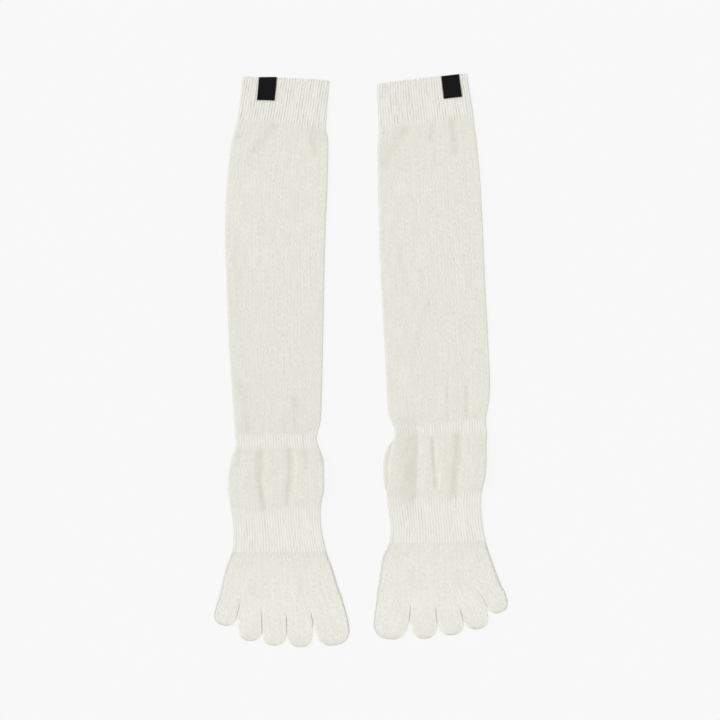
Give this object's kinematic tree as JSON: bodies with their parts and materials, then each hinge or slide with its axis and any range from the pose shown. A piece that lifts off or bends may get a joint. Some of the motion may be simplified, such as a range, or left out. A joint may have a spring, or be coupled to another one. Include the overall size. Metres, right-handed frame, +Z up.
{
  "type": "pair of toe knee socks laid flat",
  "caption": "Pair of knee-length ribbed socks with separate toes, laid flat side by side, with a bare label on each cuff.",
  "frame": {"origin": "on the surface that the socks lie on, under the middle of the pair's box", "axes": "+X across the pair, +Y from the toes to the cuffs, +Z up off the surface"},
  "size_m": [0.2436, 0.4758, 0.0089],
  "materials": {
    "plain_knit": "matte off-white fine plain knit cotton",
    "rib_knit": "matte off-white ribbed elastic knit",
    "woven_label": "black satin-woven label, bare"
  },
  "bodies": {
    "root": {"left_cuff": "rib_knit", "left_leg": "plain_knit", "left_ankle_band": "rib_knit", "left_ankle": "plain_knit", "left_heel_pouch": "plain_knit", "left_arch_band": "rib_knit", "left_foot": "plain_knit", "left_label": "woven_label", "right_cuff": "rib_knit", "right_leg": "plain_knit", "right_ankle_band": "rib_knit", "right_ankle": "plain_knit", "right_heel_pouch": "plain_knit", "right_arch_band": "rib_knit", "right_foot": "plain_knit", "right_label": "woven_label"}
  },
  "joints": []
}
